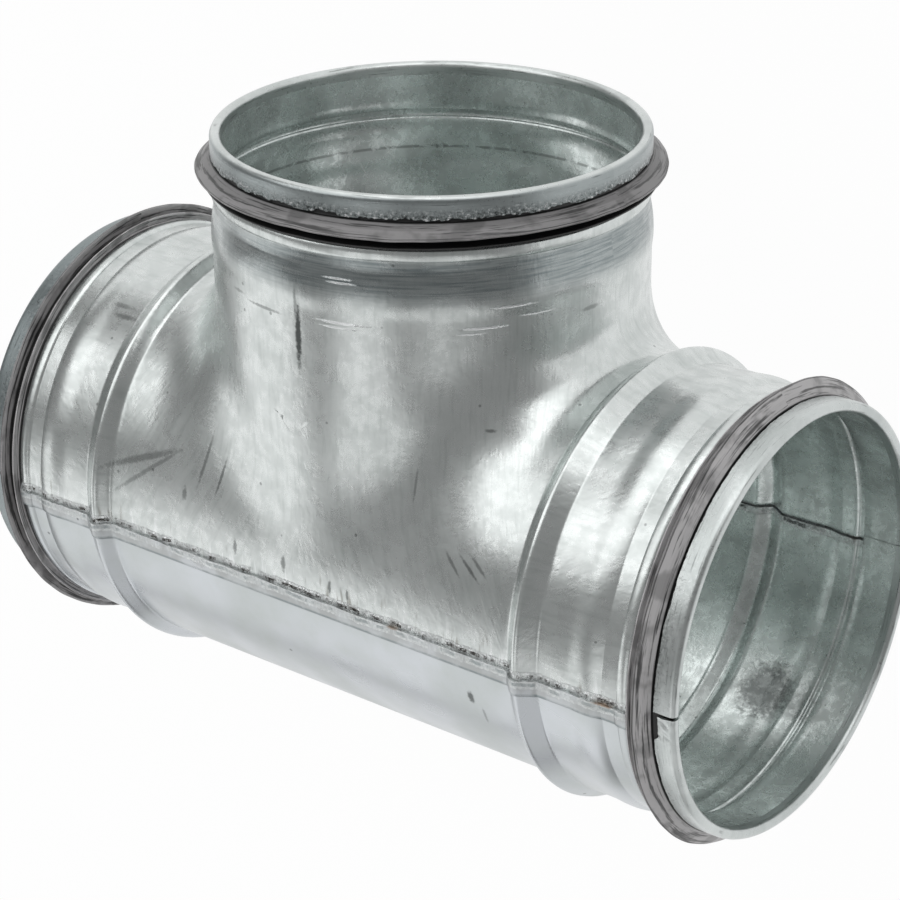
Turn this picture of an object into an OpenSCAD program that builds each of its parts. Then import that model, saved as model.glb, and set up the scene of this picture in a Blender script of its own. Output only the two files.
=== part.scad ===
// Equal tee for round ventilation duct, pressed from two halves of galvanised sheet.
// It is drawn upright: the run lies along X and the branch stands along +Z.
// Each piece is then laid down, with the branch along +Y, as the tee lies on its three seals.
// The origin is the point where the centrelines of the run and the branch cross.

/* [Duct size] */
// Radius over the rolled ends, a little under that of the duct which slides over them
rim_r = 49.2; // [38:0.1:62]
// Outside radius of the body and of the plain stretch of each spigot
wall_r = 49.4; // [38:0.1:62]
// Distance between the two ends of the run
run_l = 200; // [180:1:260]
// Height of the branch's end above the centreline of the run
branch_h = 93; // [86:1:140]

/* [Sheet] */
// Thickness of the galvanised sheet
sheet = 0.6; // [0.5:0.05:0.8]

/* [Rolled ends] */
// Length of sheet that is rolled back over the foot of the seal
hem_l = 5.2; // [4:0.1:5.6]
// Length of the recess that holds the seal, measured from the end
seat_l = 11.2; // [10.5:0.1:14]

/* [Spigot] */
// Outside radius of the shoulder behind the seal
shoulder_r = 49.4; // [38:0.1:62]
// Length of the shoulder
shoulder_l = 1.8; // [1:0.1:3]
// Outside radius of the narrow land behind the shoulder
land_r = 48.9; // [38:0.1:62]
// Distance from the end to the far edge of the land
land_end = 18.7; // [17:0.1:22]
// Outside radius of the ridge between the land and the plain stretch
ridge_r = 49.8; // [38:0.1:62]
// Distance from the end to the middle of the ridge
ridge_at = 21.1; // [20.5:0.1:25]

/* [Stop bead] */
// Distance from the end to the crest of the bead, which is how far the duct slides on
bead_at = 38.3; // [34:0.1:42]
// Width of the bead at its foot
bead_w = 7.8; // [6:0.1:10]
// Height of the bead above the wall
bead_h = 2.7; // [1.5:0.1:4]

/* [Seam] */
// Distance of the lap's upper edge below the centreline
lap_top = 3.4; // [3:0.1:6]
// Width of the lap
lap_w = 3.5; // [2.5:0.1:6]
// Width of the joggle, where one sheet steps out over the other
joggle_w = 0.8; // [0.5:0.1:1.5]
// Distance below the centreline of the joint through the rolled ends
end_joint = 1.0; // [0:0.1:2.5]
// Gap between edges that meet in the seam
edge_gap = 0.1; // [0.05:0.05:0.2]
// Gap between the two sheets of the lap
lap_gap = 0.03; // [0.01:0.01:0.1]

/* [Drawn branch] */
// Height up the branch at which the drawn root ends and the plain wall begins
root_top = 60; // [55:0.5:75]
// Height of the root's curve above the corner, beside the beads
root_side = 8; // [5:0.5:9]
// Added height of the root's curve at the front and the back
root_front = 27; // [15:1:35]
// Share of the way from the corner to the bead that the curve takes beside the beads
root_reach = 0.85; // [0.6:0.01:0.9]
// The same share at the front and the back
root_reach_front = 0.25; // [0.15:0.01:0.5]
// Distance of the root's lower edge below the centreline
root_low = 2.0; // [1.5:0.1:2.4]
// Plain stretch between the root and the foot of the bead
root_margin = 1.5; // [1.3:0.1:3]

/* [Seals] */
// Thickness of the seal's foot inside the rolled end
seal_foot = 1.3; // [1:0.05:1.8]
// Height of the seal's body above the recess
seal_body = 1.7; // [1.4:0.1:2.2]
// Height of the outer lip over the rolled end
lip_h = 3.6; // [2.5:0.1:5]
// Distance from the hem's edge to the crest of the outer lip
lip_at = 2.9; // [2.4:0.1:3.1]
// Thickness of the outer lip at its root
lip_root = 1.6; // [1.2:0.1:1.8]
// Thickness of the outer lip at its crest
lip_tip = 0.7; // [0.5:0.1:1]
// Height of the inner lip over the rolled end
inner_lip_h = 2.0; // [1:0.1:3]
// Distance from the far edge of the recess to the crest of the inner lip
inner_lip_at = 0.6; // [0.5:0.1:0.9]
// Thickness of the inner lip at its root
inner_lip_root = 1.2; // [0.8:0.1:1.4]
// Thickness of the inner lip at its crest
inner_lip_tip = 0.5; // [0.4:0.1:0.8]
// Clearance between the rubber and the sheet
seal_gap = 0.02; // [0.01:0.01:0.05]

/* [Hidden] */
$fn = 144;
metal = [0.72, 0.74, 0.75];
rubber = [0.16, 0.16, 0.17];

// Steps round the fold of a rolled end, and over a bead
fold_steps = 6;
bead_steps = 10;

half_l = run_l / 2;
wall_mid = wall_r - sheet / 2;
hem_mid = rim_r - sheet / 2;
seat_r = rim_r - sheet - seal_foot;
seat_mid = seat_r - sheet / 2;
fold_r = (hem_mid - seat_mid) / 2;
fold_at = fold_r + sheet / 2 / cos(90 / fold_steps);
step_w = 0.7;
ridge_w = 1.0;
lap_low = lap_top + lap_w;
lap_x = half_l - seat_l - step_w;
bead_end = bead_at + bead_w / 2;
root_x = half_l - bead_end - root_margin;

// Columns of the root's grid: beside a bead and along a seam, for one quarter of the tee
side_cols = 10;
seam_cols = 6;
// Rows in the root's curve
curve_rows = 6;
// How deep the root's edge runs into the walls that carry it, and how thin it is there
tongue_l = 1.0;
tongue_skin = 0.1;
tongue_t = 0.3;
// How far short of the walls the root keeps its full thickness, and how far short it is thin
full_to = 0.5;
thin_from = 0.1;
// Distance from the hem's edge to the root of the outer lip, and how far the inner lip leans
lip_lead = 0.5;
inner_lip_lean = 1.6;
// Sharpness of the root's curve: the pull of its end directions, as a share of its chord
curve_pull = 1.1;

function reversed(list) = [for (i = [len(list) - 1:-1:0]) list[i]];
function mix(a, b, share) = a + (b - a) * share;
function unit(v) = v / norm(v);
function left_of(v) = [-v[1], v[0]];

// A path moved sideways by d, with its corners mitred so that its straight stretches stay parallel
function shifted(path, d) = [
    for (i = [0:len(path) - 1])
        let (
            before = unit(path[max(i, 1)] - path[max(i, 1) - 1]),
            after = unit(path[min(i + 1, len(path) - 1)] - path[min(i + 1, len(path) - 1) - 1]),
            across = unit(left_of(before) + left_of(after))
        )
        path[i] + across * d / (across * left_of(before))
];

// The outline of a sheet of thickness t whose middle follows a path
function strip(path, t) = concat(shifted(path, t / 2), reversed(shifted(path, -t / 2)));

// Middle of the sheet in a spigot, as [distance from the end, radius], from the edge of the hem inwards
function spigot_path() = concat(
    [[hem_l, hem_mid]],
    [for (i = [0:fold_steps])
        let (turn = 90 + 180 * i / fold_steps)
        [fold_at + fold_r * cos(turn), seat_mid + fold_r + fold_r * sin(turn)]],
    [[seat_l, seat_mid],
     [seat_l + step_w, shoulder_r - sheet / 2],
     [seat_l + step_w + shoulder_l, shoulder_r - sheet / 2],
     [seat_l + 2 * step_w + shoulder_l, land_r - sheet / 2],
     [land_end, land_r - sheet / 2],
     [ridge_at - ridge_w / 2, ridge_r - sheet / 2],
     [ridge_at + ridge_w / 2, ridge_r - sheet / 2],
     [ridge_at + ridge_w + step_w, wall_mid]]
);

// A raised cosine, from foot to foot
function bead_path() = [
    for (i = [0:bead_steps])
        [bead_at + bead_w * (i / bead_steps - 0.5), wall_mid + bead_h * (1 - cos(360 * i / bead_steps)) / 2]
];

function run_path() =
    let (end = concat(spigot_path(), bead_path()))
    concat([for (p = end) [p[0] - half_l, p[1]]], reversed([for (p = end) [half_l - p[0], p[1]]]));

function branch_path() = concat(
    [for (p = spigot_path()) [branch_h - p[0], p[1]]],
    [[root_top, wall_mid]]
);

// Turns an outline of [distance along the axis, radius] about the Z axis
module turned(outline) {
    rotate_extrude() polygon([for (p = outline) [p[1], p[0]]]);
}

// The same about the X axis
module turned_x(outline) {
    rotate([0, 90, 0]) turned(outline);
}

// A block that fills x0 to x1 and z0 to z1, on the side of the tee given: -1 front, 1 back, 0 both
module block(x0, x1, z0, z1, side) {
    reach = 2 * wall_r;
    y0 = side > 0 ? 0 : -reach;
    y1 = side < 0 ? 0 : reach;
    translate([x0, y0, z0]) cube([x1 - x0, y1 - y0, z1 - z0]);
}

module run_wall() {
    turned_x(strip(run_path(), sheet));
}

// The layer of sheet that laps over the outside of the run's wall
module lap_layer() {
    turned_x(strip(shifted(run_path(), sheet + lap_gap), sheet));
}

// The wall and that layer as one thickness, as they are in the joggle
module double_layer() {
    turned_x(strip(shifted(run_path(), (sheet + lap_gap) / 2), 2 * sheet + lap_gap));
}

// The strip along one side by which a half laps over the other: it leaves the wall between
// the heights from and to, and goes on outside the other half up or down to edge
module lap_strip(from, to, edge, side) {
    middle = (from + to) / 2;
    intersection() {
        double_layer();
        block(-lap_x, lap_x, from, to, side);
    }
    intersection() {
        lap_layer();
        block(-lap_x, lap_x, min(middle, edge), max(middle, edge), side);
    }
}

// Space that belongs to the lower half, its upper edges lifted by the gap
module lower_half_space(gap) {
    deep = -2 * wall_r;
    step_x = lap_x - gap;
    block(-2 * half_l, -step_x, deep, -end_joint + gap, 0);
    block(step_x, 2 * half_l, deep, -end_joint + gap, 0);
    block(-step_x, step_x, deep, -lap_low + gap, -1);
    block(-step_x, step_x, deep, -lap_top + gap, 1);
}

// Root of the branch: one column of points for each pair of a direction round the branch
// and a place on the edge of the drawn area. The first ten columns of a quarter end beside
// the bead and the rest end along the seam.
function column_at(i) =
    let (low = 90 + asin(root_low / wall_r))
    i <= side_cols
        ? [45 * i / side_cols, root_x, low * i / side_cols]
        : [45 + 45 * (i - side_cols) / seam_cols, root_x * (1 - (i - side_cols) / seam_cols), low];

quarter = side_cols + seam_cols;

// The whole round of columns: [direction, signs of x and y, column of the quarter]
columns = concat(
    [for (i = [0:quarter - 1]) [i, 1, 1]],
    [for (i = [quarter:-1:1]) [i, -1, 1]],
    [for (i = [0:quarter - 1]) [i, -1, -1]],
    [for (i = [quarter:-1:1]) [i, 1, -1]]
);

function on_run(x, turn, r) = [x, r * sin(turn), r * cos(turn)];

// Point on the run's cylinder a share of the way from the corner to the edge of the drawn area
function run_point(c, r, share) = on_run(mix(r * cos(c[0]), c[1], share), mix(c[0], c[2], share), r);

// Direction of that line
function run_heading(c, r, share) =
    unit(run_point(c, r, share + 0.01) - run_point(c, r, share - 0.01));

// One column in the first quarter, from the top down. r is the radius of this face of the sheet,
// and edge_r its radius in the tongues.
function column_points(i, r, edge_r) =
    let (
        c = column_at(i),
        side = cos(c[0]) * cos(c[0]),
        front = sin(c[0]) * sin(c[0]),
        share = root_reach * side + root_reach_front * front,
        top = [r * cos(c[0]), r * sin(c[0]), wall_r * cos(c[0]) + root_side + root_front * front],
        foot = run_point(c, r, share),
        pull = curve_pull * norm(foot - top),
        away = pull * run_heading(c, r, share),
        at_bead = i <= side_cols ? 1 : 0,
        at_seam = i >= side_cols ? 1 : 0,
        slant = 180 / PI / wall_r
    )
    concat(
        [for (p = [[tongue_l, edge_r], [-thin_from, edge_r], [-full_to, r]])
            [p[1] * cos(c[0]), p[1] * sin(c[0]), root_top + p[0]]],
        [for (k = [0:curve_rows])
            let (t = k / curve_rows)
            top * (1 + 2 * t) * (1 - t) * (1 - t)
            + [0, 0, -pull] * t * (1 - t) * (1 - t)
            + foot * t * t * (3 - 2 * t)
            + away * t * t * (t - 1)],
        [run_point(c, r, (1 + share) / 2)],
        [for (p = [[-full_to, r], [-thin_from, edge_r], [tongue_l, edge_r]])
            on_run(c[1] + at_bead * p[0], c[2] + at_seam * p[0] * slant, p[1])]
    );

module drawn_root() {
    outer = [for (c = columns)
        [for (p = column_points(c[0], wall_r, wall_r - tongue_skin)) [p[0] * c[1], p[1] * c[2], p[2]]]];
    inner = [for (c = columns)
        [for (p = column_points(c[0], wall_r - sheet, wall_r - tongue_skin - tongue_t))
            [p[0] * c[1], p[1] * c[2], p[2]]]];
    count = len(columns);
    rows = len(outer[0]);
    skin = count * rows;
    points = concat([for (col = outer) each col], [for (col = inner) each col]);
    faces = concat(
        [for (i = [0:count - 1]) for (j = [0:rows - 2])
            let (a = i * rows + j, b = ((i + 1) % count) * rows + j)
            each [[a, b, b + 1], [a, b + 1, a + 1],
                  [skin + a, skin + b + 1, skin + b], [skin + a, skin + a + 1, skin + b + 1]]],
        [for (i = [0:count - 1]) for (j = [0, rows - 1])
            let (
                a = i * rows + j,
                b = ((i + 1) % count) * rows + j,
                turn = j == 0
            )
            each turn ? [[a, skin + a, skin + b], [a, skin + b, b]]
                      : [[a, skin + b, skin + a], [a, b, skin + b]]]
    );
    polyhedron(points, faces, convexity = 10);
}

module branch_wall() {
    turned(strip(branch_path(), sheet));
}

module upper_shell_upright() {
    difference() {
        run_wall();
        lower_half_space(0);
        block(-root_x, root_x, -root_low, 2 * wall_r, 0);
    }
    lap_strip(-lap_top, -lap_top + joggle_w, -lap_low, 1);
    branch_wall();
    drawn_root();
}

module lower_shell_upright() {
    intersection() {
        run_wall();
        lower_half_space(-edge_gap);
    }
    lap_strip(-lap_low - joggle_w, -lap_low - edge_gap, -lap_top, -1);
}

// One lip, from its root at from to its crest at to. It leans away from the end of the spigot,
// so that it folds down as the duct slides over it.
function lip(from, to, crest_r, root_r, root, tip) = [
    [from, root_r],
    [to - tip / 2, crest_r - tip / 3],
    [to - tip / 6, crest_r],
    [to + tip / 6, crest_r],
    [to + tip / 2, crest_r - tip / 3],
    [from + root, root_r]
];

// Outline of a seal, as [distance from the end, radius]
function seal_outline() =
    let (
        foot_in = seat_r + seal_gap,
        foot_out = rim_r - sheet - seal_gap,
        body_r = seat_r + seal_body,
        front = hem_l + seal_gap,
        back = seat_l - seal_gap,
        inner_at = back - inner_lip_at
    )
    concat(
        [[fold_at, foot_in], [fold_at, foot_out], [front, foot_out], [front, body_r]],
        lip(front + lip_lead, front + lip_at, rim_r + lip_h, body_r, lip_root, lip_tip),
        lip(inner_at - inner_lip_lean, inner_at, rim_r + inner_lip_h, body_r, inner_lip_root, inner_lip_tip),
        [[back, foot_out], [back, foot_in]]
    );

// The two shells' ends and the seals are turned from the same distances from the end of the spigot
module run_seal(end) {
    turned_x([for (p = seal_outline()) [end * (half_l - p[0]), p[1]]]);
}

module branch_seal() {
    turned([for (p = seal_outline()) [branch_h - p[0], p[1]]]);
}

// Turns the upright tee down onto its back, so that what was the front faces up
module laid_down() {
    rotate([-90, 0, 0]) children();
}

module upper_shell() {
    color(metal) laid_down() upper_shell_upright();
}

module lower_shell() {
    color(metal) laid_down() lower_shell_upright();
}

module gasket_left() {
    color(rubber) laid_down() run_seal(-1);
}

module gasket_right() {
    color(rubber) laid_down() run_seal(1);
}

module gasket_branch() {
    color(rubber) laid_down() branch_seal();
}

upper_shell();
lower_shell();
gasket_left();
gasket_right();
gasket_branch();
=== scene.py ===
"""Spiral duct tee: an equal tee for round ventilation duct, pressed from two halves of galvanised sheet.

The sizes are drawn with the tee upright, in millimetres: x along the run, y towards the back and z up
the branch. lay_down() turns them into the frame of the part, which lies on its back on its three seals.
"""

import math
from types import SimpleNamespace

import bpy
import numpy as np
from mathutils import Matrix, Vector


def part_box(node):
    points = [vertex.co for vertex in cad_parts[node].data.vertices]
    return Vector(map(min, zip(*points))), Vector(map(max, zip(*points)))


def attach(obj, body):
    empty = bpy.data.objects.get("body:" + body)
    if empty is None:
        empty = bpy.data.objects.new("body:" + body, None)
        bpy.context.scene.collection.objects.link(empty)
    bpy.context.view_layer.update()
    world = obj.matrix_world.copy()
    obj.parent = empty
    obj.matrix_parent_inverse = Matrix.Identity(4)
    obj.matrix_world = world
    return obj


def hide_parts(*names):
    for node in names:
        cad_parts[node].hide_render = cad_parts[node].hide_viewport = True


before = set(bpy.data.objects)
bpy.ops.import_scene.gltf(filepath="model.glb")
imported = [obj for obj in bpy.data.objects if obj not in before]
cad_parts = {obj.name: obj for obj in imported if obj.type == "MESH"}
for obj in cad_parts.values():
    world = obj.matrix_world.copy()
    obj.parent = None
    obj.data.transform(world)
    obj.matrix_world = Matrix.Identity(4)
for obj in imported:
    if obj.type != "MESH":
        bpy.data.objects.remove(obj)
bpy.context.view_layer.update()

bl_info = {
    "name": "Spiral duct tee",
    "version": (1, 0, 0),
    "blender": (4, 5, 0),
    "location": "3D View > Sidebar > Duct tee",
    "description": "Makes the sheet halves, the rolled ends, the seam and the rubber seals of a duct tee",
    "category": "Object",
}

MM = 0.001
SHARP = math.radians(50)
RUN_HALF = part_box("upper_shell")[1][0]
BRANCH_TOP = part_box("upper_shell")[1][1]
SEAL_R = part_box("gasket_right")[1][2]


def length(name, description, millimetres):
    """A length that the user can change, given here in millimetres."""
    return bpy.props.FloatProperty(
        name=name, description=description, default=millimetres * MM, unit="LENGTH", precision=5
    )


def linear(code):
    """The linear colour of an sRGB hex value such as 'c8d0cf', by the sRGB curve, channel by channel."""
    channels = [int(code[i : i + 2], 16) / 255 for i in (0, 2, 4)]
    return [c / 12.92 if c <= 0.04045 else ((c + 0.055) / 1.055) ** 2.4 for c in channels]


def colour(name, description, code):
    """A colour that the user can change, given here as an sRGB hex value."""
    return bpy.props.FloatVectorProperty(
        name=name, description=description, default=linear(code), size=3, subtype="COLOR", min=0, max=1
    )


def brightness(name, description, default):
    """A brightness that the user can change, where 1 is white."""
    return bpy.props.FloatProperty(name=name, description=description, default=default, min=0)


class TeeSizes(bpy.types.PropertyGroup):
    """Sizes of the sheet metal and of the seals."""

    half_run: length("Half of the run", "From the middle of the run to each end", RUN_HALF / MM)
    branch_h: length("Branch", "From the centreline of the run to the branch's end", BRANCH_TOP / MM)
    rim_r: length("Rolled end", "Radius over the rolled ends", 49.2)
    wall_r: length("Wall", "Radius over the body and the plain stretch of each spigot", 49.4)
    sheet: length("Sheet", "Thickness of the sheet", 0.6)
    hem_l: length("Hem", "Length of sheet rolled back over the seal's foot", 5.2)
    seat_l: length("Recess", "Length of the recess that holds the seal", 11.2)
    seal_foot: length("Seal's foot", "Thickness of the seal's foot inside the rolled end", 1.3)
    bead_at: length("Bead's place", "From the end to the crest of the stop bead", 38.3)
    bead_w: length("Bead's width", "Width of the stop bead at its foot", 7.8)
    bead_h: length("Bead's height", "Height of the stop bead", 2.7)
    lap_top: length("Lap's edge", "Distance of the lap's edge below the centreline", 3.4)
    lap_w: length("Lap", "Width of the lap", 3.5)
    joggle_w: length("Joggle", "Width of the step by which one sheet goes over the other", 0.8)
    end_joint: length("End joint", "Distance of the joint in the rolled ends below the centreline", 1.0)
    seal_r: length("Seal", "Radius over the seal's outer lip", SEAL_R / MM)


class TeeFinish(bpy.types.PropertyGroup):
    """Colours of the finishes."""

    zinc: colour("Zinc", "Galvanised sheet", "dee2e1")
    zinc_bright: colour("Bright zinc", "Flaked or freshly scratched zinc", "f0f2f3")
    zinc_bent: colour("Bent zinc", "Galvanised sheet that was only bent", "c4c8cc")
    zinc_dull: colour("Dull zinc", "Galvanised sheet where it has been rubbed and is greyer", "b7bdbb")
    # Also painted shade: the band below the branch's land and the line along the lower half's joggle.
    zinc_rubbed_and_shade: colour("Rubbed zinc", "Band below the branch's land", "80898b")
    zinc_worn: colour("Worn zinc", "Lap of the seam", "a2a4a4")
    zinc_inside: colour("Zinc inside", "Inner face of the sheet", "e6eeec")
    soot: colour("Dark marks", "Scuffs, weld smut and dirt", "3f4342")
    smut: colour("Smut", "Smoke stains above the seam", "77736a")
    weld: colour("Weld", "Burnt edge of the seam weld", "8a6f55")
    # Also painted shade: the dark line along the open joint inside.
    weld_dark_and_shade: colour("Weld smut", "Open joint of the seam weld", "443d36")
    rubber: colour("Rubber", "Clean black rubber", "161717")
    # Also painted sheen: the light coat on the seals stands in for the rubber's satin highlights as well as
    # dust.
    dust_and_sheen: colour("Dust", "Rubber under a film of zinc dust", "d4d2d3")
    floor: colour("Floor", "Studio floor", "f4f4f4")


class TeeStudio(bpy.types.PropertyGroup):
    """Camera and light."""

    lens: bpy.props.FloatProperty(name="Lens", description="Focal length in mm", default=108.51, min=1)
    world: brightness("World", "The room's light", 0.28)
    above: brightness("Above", "Soft box above the branch", 1.27)
    far: brightness("Far", "Soft box beyond the branch", 1.35)
    near: brightness("Near", "Soft box on the left, in front of the run", 0.86)
    middle: brightness("Middle", "Soft box over the run", 0.72)
    right: brightness("Right", "Soft box on the right", 0.50)


def in_millimetres(group):
    """The group's lengths as plain numbers in millimetres."""
    return SimpleNamespace(**{name: getattr(group, name) / MM for name in group.__annotations__})


def sizes():
    """Sizes of the tee in millimetres, with those that follow from them."""
    s = in_millimetres(bpy.context.scene.tee_sizes)
    s.wall = s.wall_r - s.sheet / 2
    s.hem = s.rim_r - s.sheet / 2
    s.seat = s.rim_r - 1.5 * s.sheet - s.seal_foot
    s.fold = (s.hem - s.seat) / 2
    s.fold_at = s.fold + s.sheet / 2
    s.lap_start = s.seat_l + STEP
    s.lap_low = s.lap_top + s.lap_w
    s.root_x = s.half_run - s.bead_at - s.bead_w / 2 - 1.5
    return s


def smooth(x, low, high):
    """Smoothstep: 0 below low, 1 above high and 3t²-2t³ between, where t is the share of the way."""
    t = np.clip((x - low) / (high - low), 0, 1)
    return t * t * (3 - 2 * t)


def spread(*parts):
    """Stacks coordinates along a new last axis, after spreading them over each other's rows and columns."""
    return np.stack(np.broadcast_arrays(*parts), axis=-1)


def rows(start, *stretches):
    """Distances for the rows of a grid, from start on. Each stretch is its last distance and its steps."""
    lasts = [start, *(last for last, _ in stretches)]
    steps = [count for _, count in stretches]
    parts = [np.linspace(*span, endpoint=False) for span in zip(lasts, lasts[1:], steps)]
    return np.concatenate([*parts, lasts[-1:]])


def uneven(turn, waves, seed):
    """A closed wavy line round a circle, mostly between -1.5 and 1.5: a sum of equally strong sines with the
    given numbers of waves to the turn and random phases."""
    phases = np.random.default_rng(seed).uniform(0, 2 * np.pi, len(waves))
    total = sum(np.sin(count * turn + phase) for count, phase in zip(waves, phases))
    return total / math.sqrt(len(waves))


def eased(t, corner):
    """A straight ramp from 0 to 1 with its corners rounded over the given share: the ramp's running mean."""
    areas = [np.where(x < 0, 0, np.where(x < 1, x * x / 2, x - 0.5)) for x in (t - corner, t + corner)]
    return (areas[1] - areas[0]) / (2 * corner)


# Along a spigot: the width of its two small steps, where its land starts, and the creases behind the land.
STEP = 0.7
LAND = 13.7
CREASE, BRANCH_CREASE = 18.2, 17.2


def spigot_radius(d, s, branch=False):
    """Radius of the middle of the sheet at a distance d from the end. Recess, shoulder and land are levels
    joined by smoothsteps. From the land's crease the sheet swells on a parabola and then settles to the wall.
    The stop bead has a straight flank towards the end and a raised cosine towards the body."""
    r = s.seat + (s.wall - s.seat) * smooth(d, s.seat_l, s.seat_l + STEP)
    r = r - 0.5 * smooth(d, LAND, LAND + STEP)
    first, crest, settled = (BRANCH_CREASE, 24.0, 28.0) if branch else (CREASE, 22.4, 27.0)
    t = np.clip((d - first) / (crest - first), 0, 1)
    r = r + 0.8 * t * (2 - t) - 0.3 * smooth(d, crest, settled)
    if not branch:
        flank = eased((d - s.bead_at) / (s.bead_w / 2) + 1, 0.12)
        share = np.clip((d - s.bead_at) / (s.bead_w / 2), 0, 1)
        r = r + s.bead_h * flank * (1 + np.cos(np.pi * share)) / 2
    return r


# Distances from the end at which the sheet takes over from the rolled end, and at which a spigot's rows get
# closer or wider, each with the number of steps up to it.
SPLIT = 3.0
BAND_ROWS = ((11.2, 4), (11.9, 5), (LAND, 2), (14.4, 4), (BRANCH_CREASE, 2), (19.2, 8), (28.0, 13))
BEAD_ROWS = ((33.6, 3), (42.2, 28))


class Sheet:
    """Grids of points in the middle of a sheet, which are joined where they meet and get its thickness."""

    def __init__(self):
        self.points, self.quads, self.uvs, self.count = [], [], [], 0

    def add(self, points, uv, closed=False):
        """Adds a grid of rows by columns. A closed grid's last column meets its first, and its uv has one
        column more than its points."""
        height, width = points.shape[:2]
        index = self.count + np.arange(height * width).reshape(height, width)
        if closed:
            index = np.concatenate([index, index[:, :1]], axis=1)
        self.points.append(points.reshape(-1, 3))
        self.quads.append(corners(index).reshape(-1, 4))
        self.uvs.append(corners(uv).reshape(-1, 4, 2))
        self.count += height * width

    def solid(self, thickness):
        """Merges points within 0.001 mm, works out their normals and moves them half the thickness out and in
        along these. Border edges get a side wall, so the result is closed."""
        points = np.concatenate(self.points)
        quads = np.concatenate(self.quads)
        uvs = np.concatenate(self.uvs)
        _, first, merged = np.unique(np.round(points, 3), axis=0, return_index=True, return_inverse=True)
        points = points[first]
        quads = merged.reshape(-1)[quads]
        normals = vertex_normals(points, quads)
        count = len(points)
        skins = np.concatenate([points + normals * thickness / 2, points - normals * thickness / 2])
        ends = quads[:, [0, 1, 1, 2, 2, 3, 3, 0]].reshape(-1, 2)
        end_uvs = uvs[:, [0, 1, 1, 2, 2, 3, 3, 0]].reshape(-1, 2, 2)
        _, where, times = np.unique(
            ends.min(axis=1) * count + ends.max(axis=1), return_index=True, return_counts=True
        )
        border = where[times == 1]
        a, b = ends[border].T
        sides = np.stack([b, a, a + count, b + count], axis=1)
        side_uvs = end_uvs[border][:, [1, 0, 0, 1]]
        faces = np.concatenate([quads, quads[:, ::-1] + count, sides])
        return skins, faces, np.concatenate([uvs, uvs[:, ::-1], side_uvs])


def corners(grid):
    """The four corners of every cell of a grid, turned so that rows down and columns to the left face out."""
    return np.stack([grid[:-1, :-1], grid[1:, :-1], grid[1:, 1:], grid[:-1, 1:]], axis=2)


def vertex_normals(points, faces):
    """Each point's normal: the sum of the diagonals' cross products of the quads round it, made unit."""
    across = np.cross(points[faces[:, 2]] - points[faces[:, 0]], points[faces[:, 3]] - points[faces[:, 1]])
    normals = np.zeros_like(points)
    for corner in faces.T:
        np.add.at(normals, corner, across)
    return normals / np.linalg.norm(normals, axis=1, keepdims=True)


def lay_down(points):
    """Upright millimetres to metres in the part's frame: x stays, up becomes +Y and the front becomes +Z."""
    return np.stack([points[:, 0], points[:, 2], -points[:, 1]], axis=1) * MM


def put(name, data):
    """Puts a mesh, a lamp or a camera into the scene."""
    made = bpy.data.objects.new(name, data)
    bpy.context.scene.collection.objects.link(made)
    return made


def make_piece(name, points, faces, uvs, materials, slot, node):
    """Puts the arrays into a mesh, gives it its finish and lets it stand for a CAD node. With two materials,
    the second is for the inner skin, which is the second part of the faces."""
    mesh = bpy.data.meshes.new(name)
    mesh.vertices.add(len(points))
    mesh.vertices.foreach_set("co", lay_down(points).ravel())
    mesh.loops.add(faces.size)
    mesh.loops.foreach_set("vertex_index", faces.ravel().astype(np.int32))
    mesh.polygons.add(len(faces))
    mesh.polygons.foreach_set("loop_start", np.arange(0, faces.size, faces.shape[1], dtype=np.int32))
    mesh.update(calc_edges=True)
    layer = mesh.uv_layers.new(name="Draw")
    layer.data.foreach_set("uv", (uvs * MM).ravel().astype(np.float32))
    mesh.polygons.foreach_set("use_smooth", np.ones(len(faces), dtype=bool))
    mesh.set_sharp_from_angle(angle=SHARP)
    for material in materials:
        mesh.materials.append(material)
    if len(materials) > 1:
        inner = faces.min(axis=1) >= len(points) // 2
        mesh.polygons.foreach_set("material_index", inner.astype(np.int32))
    if mesh.validate():
        raise RuntimeError(name + " has a broken face")
    piece = put(name, mesh)
    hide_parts(node)
    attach(piece, "root")
    return piece


def on_run(x, turn, r):
    """A point on a cylinder round the run, at an angle from straight up towards the back."""
    return spread(x, r * np.sin(turn), r * np.cos(turn))


def below(z, r):
    """The angle from straight up at which a cylinder of radius r has come down to z under the centreline."""
    return np.pi / 2 + np.arcsin(z / r)


SIDE_COLUMNS = 40
SEAM_COLUMNS = 26
ROOT_LOW = 2.0
LAP_GAP = 0.03


def root_columns(s):
    """Columns round the branch. In a quarter the first ones end beside the bead and the rest along the seam.
    around is the direction of each column, edge_x and turn the place where it ends on the run."""
    quarter = SIDE_COLUMNS + SEAM_COLUMNS
    i = np.arange(quarter + 1)
    side, seam = np.clip(i / SIDE_COLUMNS, 0, 1), np.clip((i - SIDE_COLUMNS) / SEAM_COLUMNS, 0, 1)
    around = np.pi / 4 * (side + seam)
    loop = np.r_[0:quarter, quarter:0:-1, 0:quarter, quarter:0:-1]
    sign_x, sign_y = np.repeat([[1, -1, -1, 1], [1, 1, -1, -1]], quarter, axis=1)
    return SimpleNamespace(
        quarter=quarter,
        around=around[loop],
        edge_x=(s.root_x * (1 - seam))[loop],
        turn=(below(ROOT_LOW, s.wall) * side)[loop],
        sign=np.stack([sign_x, sign_y, np.ones_like(sign_x)], axis=1),
        angle=np.arctan2(sign_y * np.sin(around[loop]), sign_x * np.cos(around[loop])),
    )


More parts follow.
